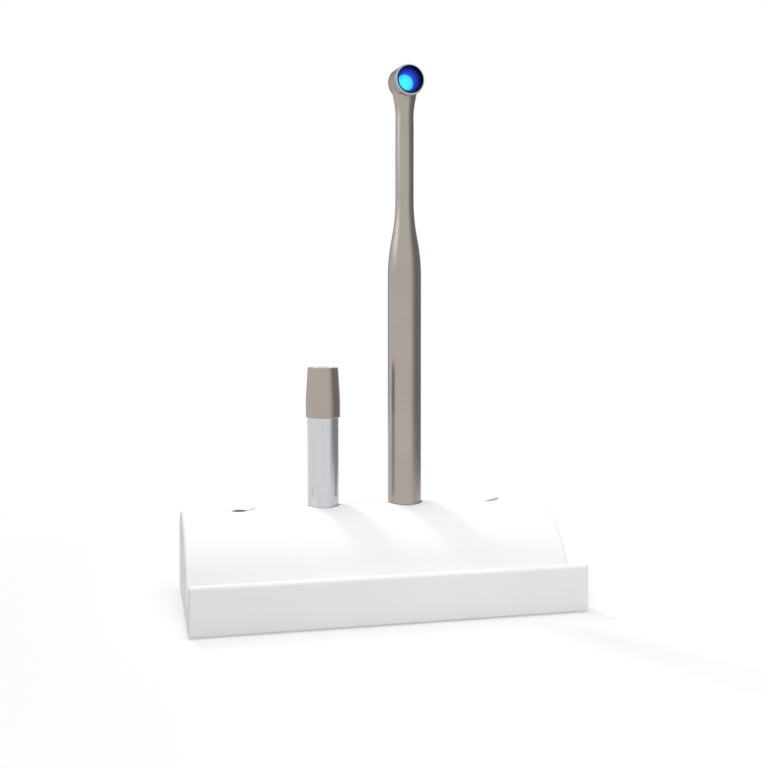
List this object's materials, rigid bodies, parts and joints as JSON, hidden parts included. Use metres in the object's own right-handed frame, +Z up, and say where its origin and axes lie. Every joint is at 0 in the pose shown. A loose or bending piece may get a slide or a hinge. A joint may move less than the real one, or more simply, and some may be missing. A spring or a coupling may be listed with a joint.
{
  "type": "dental curing light",
  "caption": "Pen-style dental curing light standing in a long arched charging base with a light meter recess, a spare battery pack and an empty charging well.",
  "frame": {"origin": "on the table under the middle of the base", "axes": "+Z up, +Y towards the back wall with the power socket, +X towards the empty well; the lamp faces -Y, turned 6.5 degrees towards +X"},
  "size_m": [0.169, 0.081, 0.2422],
  "materials": {
    "white_shell": "gloss",
    "white_liner": "satin",
    "grey_cover": "fine texture",
    "foot_rubber": "matte",
    "steel": "satin",
    "circuit_board": "solder mask",
    "black_plastic": "matte",
    "brass": "polished",
    "meter_glass": "dark amber",
    "champagne_metal": "satin anodised",
    "can_metal": "bright",
    "lens_glass": "clear",
    "reflector_metal": "bright",
    "lamp_die": "lit",
    "heat_sink_metal": "turned",
    "button_plastic": "satin",
    "status_plastic": "frosted",
    "seal_rubber": "matte",
    "lead_insulation": "smooth"
  },
  "bodies": {
    "base": {"base_shell": "white_shell", "bottom_cover": "grey_cover", "cover_screws": "steel", "rubber_feet": "foot_rubber", "ballast_plate": "steel", "charging_board": "circuit_board", "board_screws": "steel", "well_rings": "brass", "contact_barrels": "brass", "power_socket": "black_plastic", "socket_pin": "brass", "meter_bezel": "brass", "meter_window": "meter_glass", "meter_sensor": "black_plastic", "meter_board": "circuit_board", "spare_cup": "white_liner", "handpiece_cup": "white_liner", "empty_cup": "white_liner", "spare_spring": "steel", "handpiece_spring": "steel", "empty_spring": "steel"},
    "battery_pack": {"pack_can": "can_metal", "pack_cap": "champagne_metal", "pack_tail_insulator": "black_plastic", "pack_tail_contact": "brass", "pack_nose": "black_plastic", "pack_nose_pin": "brass"},
    "handpiece": {"battery_sleeve": "champagne_metal", "coupling_ring": "can_metal", "coupling_seal": "seal_rubber", "contact_disc": "brass", "nose_spring": "steel", "upper_housing": "champagne_metal", "indicator_window": "status_plastic", "control_board": "circuit_board", "board_carrier": "black_plastic", "button_switches": "black_plastic", "lamp_leads": "lead_insulation", "heat_sink": "heat_sink_metal", "emitter_board": "circuit_board", "emitter": "lamp_die", "reflector": "reflector_metal", "lens": "lens_glass", "lens_ring": "can_metal"},
    "spare_pack": {"spare_can": "can_metal", "spare_cap": "champagne_metal", "spare_tail_insulator": "black_plastic", "spare_tail_contact": "brass", "spare_nose": "black_plastic", "spare_nose_pin": "brass"},
    "spare_plunger": {"spare_plunger": "brass"},
    "handpiece_plunger": {"handpiece_plunger": "brass"},
    "empty_plunger": {"empty_plunger": "brass"},
    "power_button": {"power_button": "button_plastic"},
    "mode_button": {"mode_button": "button_plastic"}
  },
  "joints": [
    {"name": "pack_lift", "type": "slide", "parent": "base", "child": "battery_pack", "axis": [0, 0, 1], "range_m": [0, 0.045]},
    {"name": "handpiece_pull", "type": "slide", "parent": "battery_pack", "child": "handpiece", "axis": [0, 0, 1], "range_m": [0, 0.058]},
    {"name": "spare_lift", "type": "slide", "parent": "base", "child": "spare_pack", "axis": [0, 0, 1], "range_m": [0, 0.03]},
    {"name": "spare_contact_press", "type": "slide", "parent": "base", "child": "spare_plunger", "axis": [0, 0, -1], "range_m": [0, 0.001], "stiffness_N_per_m": 200, "springref_m": -0.0015, "deforming": ["spare_spring"]},
    {"name": "handpiece_contact_press", "type": "slide", "parent": "base", "child": "handpiece_plunger", "axis": [0, 0, -1], "range_m": [0, 0.001], "stiffness_N_per_m": 200, "springref_m": -0.0015, "deforming": ["handpiece_spring"]},
    {"name": "empty_contact_press", "type": "slide", "parent": "base", "child": "empty_plunger", "axis": [0, 0, -1], "range_m": [0, 0.001], "stiffness_N_per_m": 200, "springref_m": -0.0015, "deforming": ["empty_spring"]},
    {"name": "power_press", "type": "slide", "parent": "handpiece", "child": "power_button", "axis": [0.1132, -0.9936, 0], "range_m": [0, 0.0005], "stiffness_N_per_m": 900, "springref_m": -0.0008},
    {"name": "mode_press", "type": "slide", "parent": "handpiece", "child": "mode_button", "axis": [0.1132, -0.9936, 0], "range_m": [0, 0.0005], "stiffness_N_per_m": 900, "springref_m": -0.0008}
  ]
}
